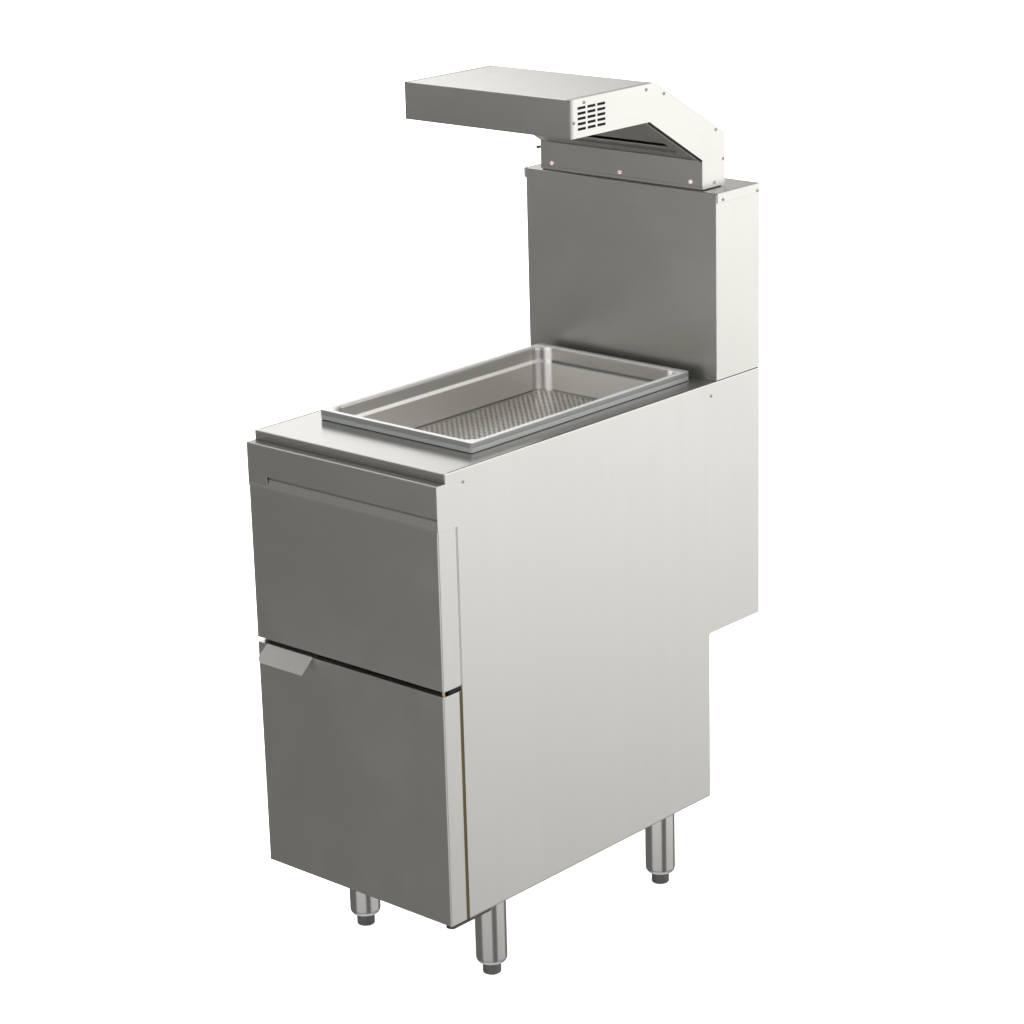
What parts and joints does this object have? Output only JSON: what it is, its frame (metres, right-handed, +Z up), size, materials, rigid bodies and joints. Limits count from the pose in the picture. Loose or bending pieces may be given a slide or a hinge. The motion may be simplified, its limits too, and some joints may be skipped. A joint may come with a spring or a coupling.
{
  "type": "french fry dump station",
  "caption": "Narrow stainless cabinet with a drop-in food pan, a perforated drain plate, a hinged door and a heated hood on a riser at the back.",
  "frame": {"origin": "on the floor under the middle of the outside box, from the tip of the door pull to the end of the cable gland", "axes": "+Z up from the floor, +Y from the door to the back, +X to the right of someone who faces the door"},
  "size_m": [0.409, 0.8364, 1.3845],
  "materials": {
    "brushed": "brushed stainless sheet",
    "bright": "smooth stainless, half bright",
    "passivated": "yellow passivated zinc plate",
    "brass": "turned brass",
    "rubber": "black rubber",
    "plastic": "dark moulded plastic",
    "ceramic": "unglazed pale ceramic",
    "element": "dark oxidised heater sheath"
  },
  "bodies": {
    "cabinet": {"left_side_panel": "brushed", "right_side_panel": "brushed", "base_panel": "brushed", "lower_back_panel": "brushed", "upper_back_panel": "brushed", "left_front_post": "brushed", "right_front_post": "brushed", "door_header": "brushed", "front_rail": "brushed", "front_fascia": "brushed", "worktop": "bright", "pan_collar": "bright", "upper_hinge_pin": "brass", "lower_hinge_pin": "brass", "lower_hinge_bracket": "bright", "door_magnet": "plastic", "riser_cover": "brushed", "riser_left_side": "brushed", "riser_right_side": "brushed", "riser_back": "brushed", "cable_gland": "plastic", "post_gasket": "rubber", "hood_left_side": "brushed", "hood_right_side": "brushed", "hood_shell": "brushed", "hood_soffit": "brushed", "hood_post_panel": "brushed", "post_screw_left": "bright", "post_screw_middle": "bright", "post_screw_right": "bright", "element_guard": "bright", "heat_reflector": "bright", "heating_element_front": "element", "heating_element_rear": "element", "left_element_holder": "ceramic", "right_element_holder": "ceramic", "terminal_block": "ceramic", "mains_lead": "rubber", "heater_lead": "rubber", "switch_body": "plastic", "switch_nut": "bright", "leg_socket_left_front": "bright", "leg_left_front": "bright", "leg_socket_right_front": "bright", "leg_right_front": "bright", "leg_socket_left_rear": "bright", "leg_left_rear": "bright", "leg_socket_right_rear": "bright", "leg_right_rear": "bright"},
    "door": {"door_skin": "brushed", "door_liner": "passivated", "door_pull": "brushed", "door_strike": "bright"},
    "pan": {"food_pan": "bright"},
    "drain": {"drain_plate": "bright"},
    "toggle": {"switch_lever": "bright"},
    "foot_left_front_body": {"foot_left_front": "plastic"},
    "foot_right_front_body": {"foot_right_front": "plastic"},
    "foot_left_rear_body": {"foot_left_rear": "plastic"},
    "foot_right_rear_body": {"foot_right_rear": "plastic"}
  },
  "joints": [
    {"name": "door_hinge", "type": "hinge", "parent": "cabinet", "child": "door", "pos_m": [0.197, -0.38415, 0.345], "axis": [0, 0, 1], "range_deg": [0, 110]},
    {"name": "pan_lift", "type": "slide", "parent": "cabinet", "child": "pan", "axis": [0, 0, 1], "range_m": [0, 0.2]},
    {"name": "drain_lift", "type": "slide", "parent": "pan", "child": "drain", "axis": [0, 0, 1], "range_m": [0, 0.16]},
    {"name": "toggle_tilt", "type": "hinge", "parent": "cabinet", "child": "toggle", "pos_m": [-0.174, 0.30185, 1.231], "axis": [0, 1, 0], "range_deg": [0, 24]},
    {"name": "foot_left_front_screw", "type": "slide", "parent": "cabinet", "child": "foot_left_front_body", "axis": [0, 0, -1], "range_m": [0, 0.025]},
    {"name": "foot_right_front_screw", "type": "slide", "parent": "cabinet", "child": "foot_right_front_body", "axis": [0, 0, -1], "range_m": [0, 0.025]},
    {"name": "foot_left_rear_screw", "type": "slide", "parent": "cabinet", "child": "foot_left_rear_body", "axis": [0, 0, -1], "range_m": [0, 0.025]},
    {"name": "foot_right_rear_screw", "type": "slide", "parent": "cabinet", "child": "foot_right_rear_body", "axis": [0, 0, -1], "range_m": [0, 0.025]}
  ]
}
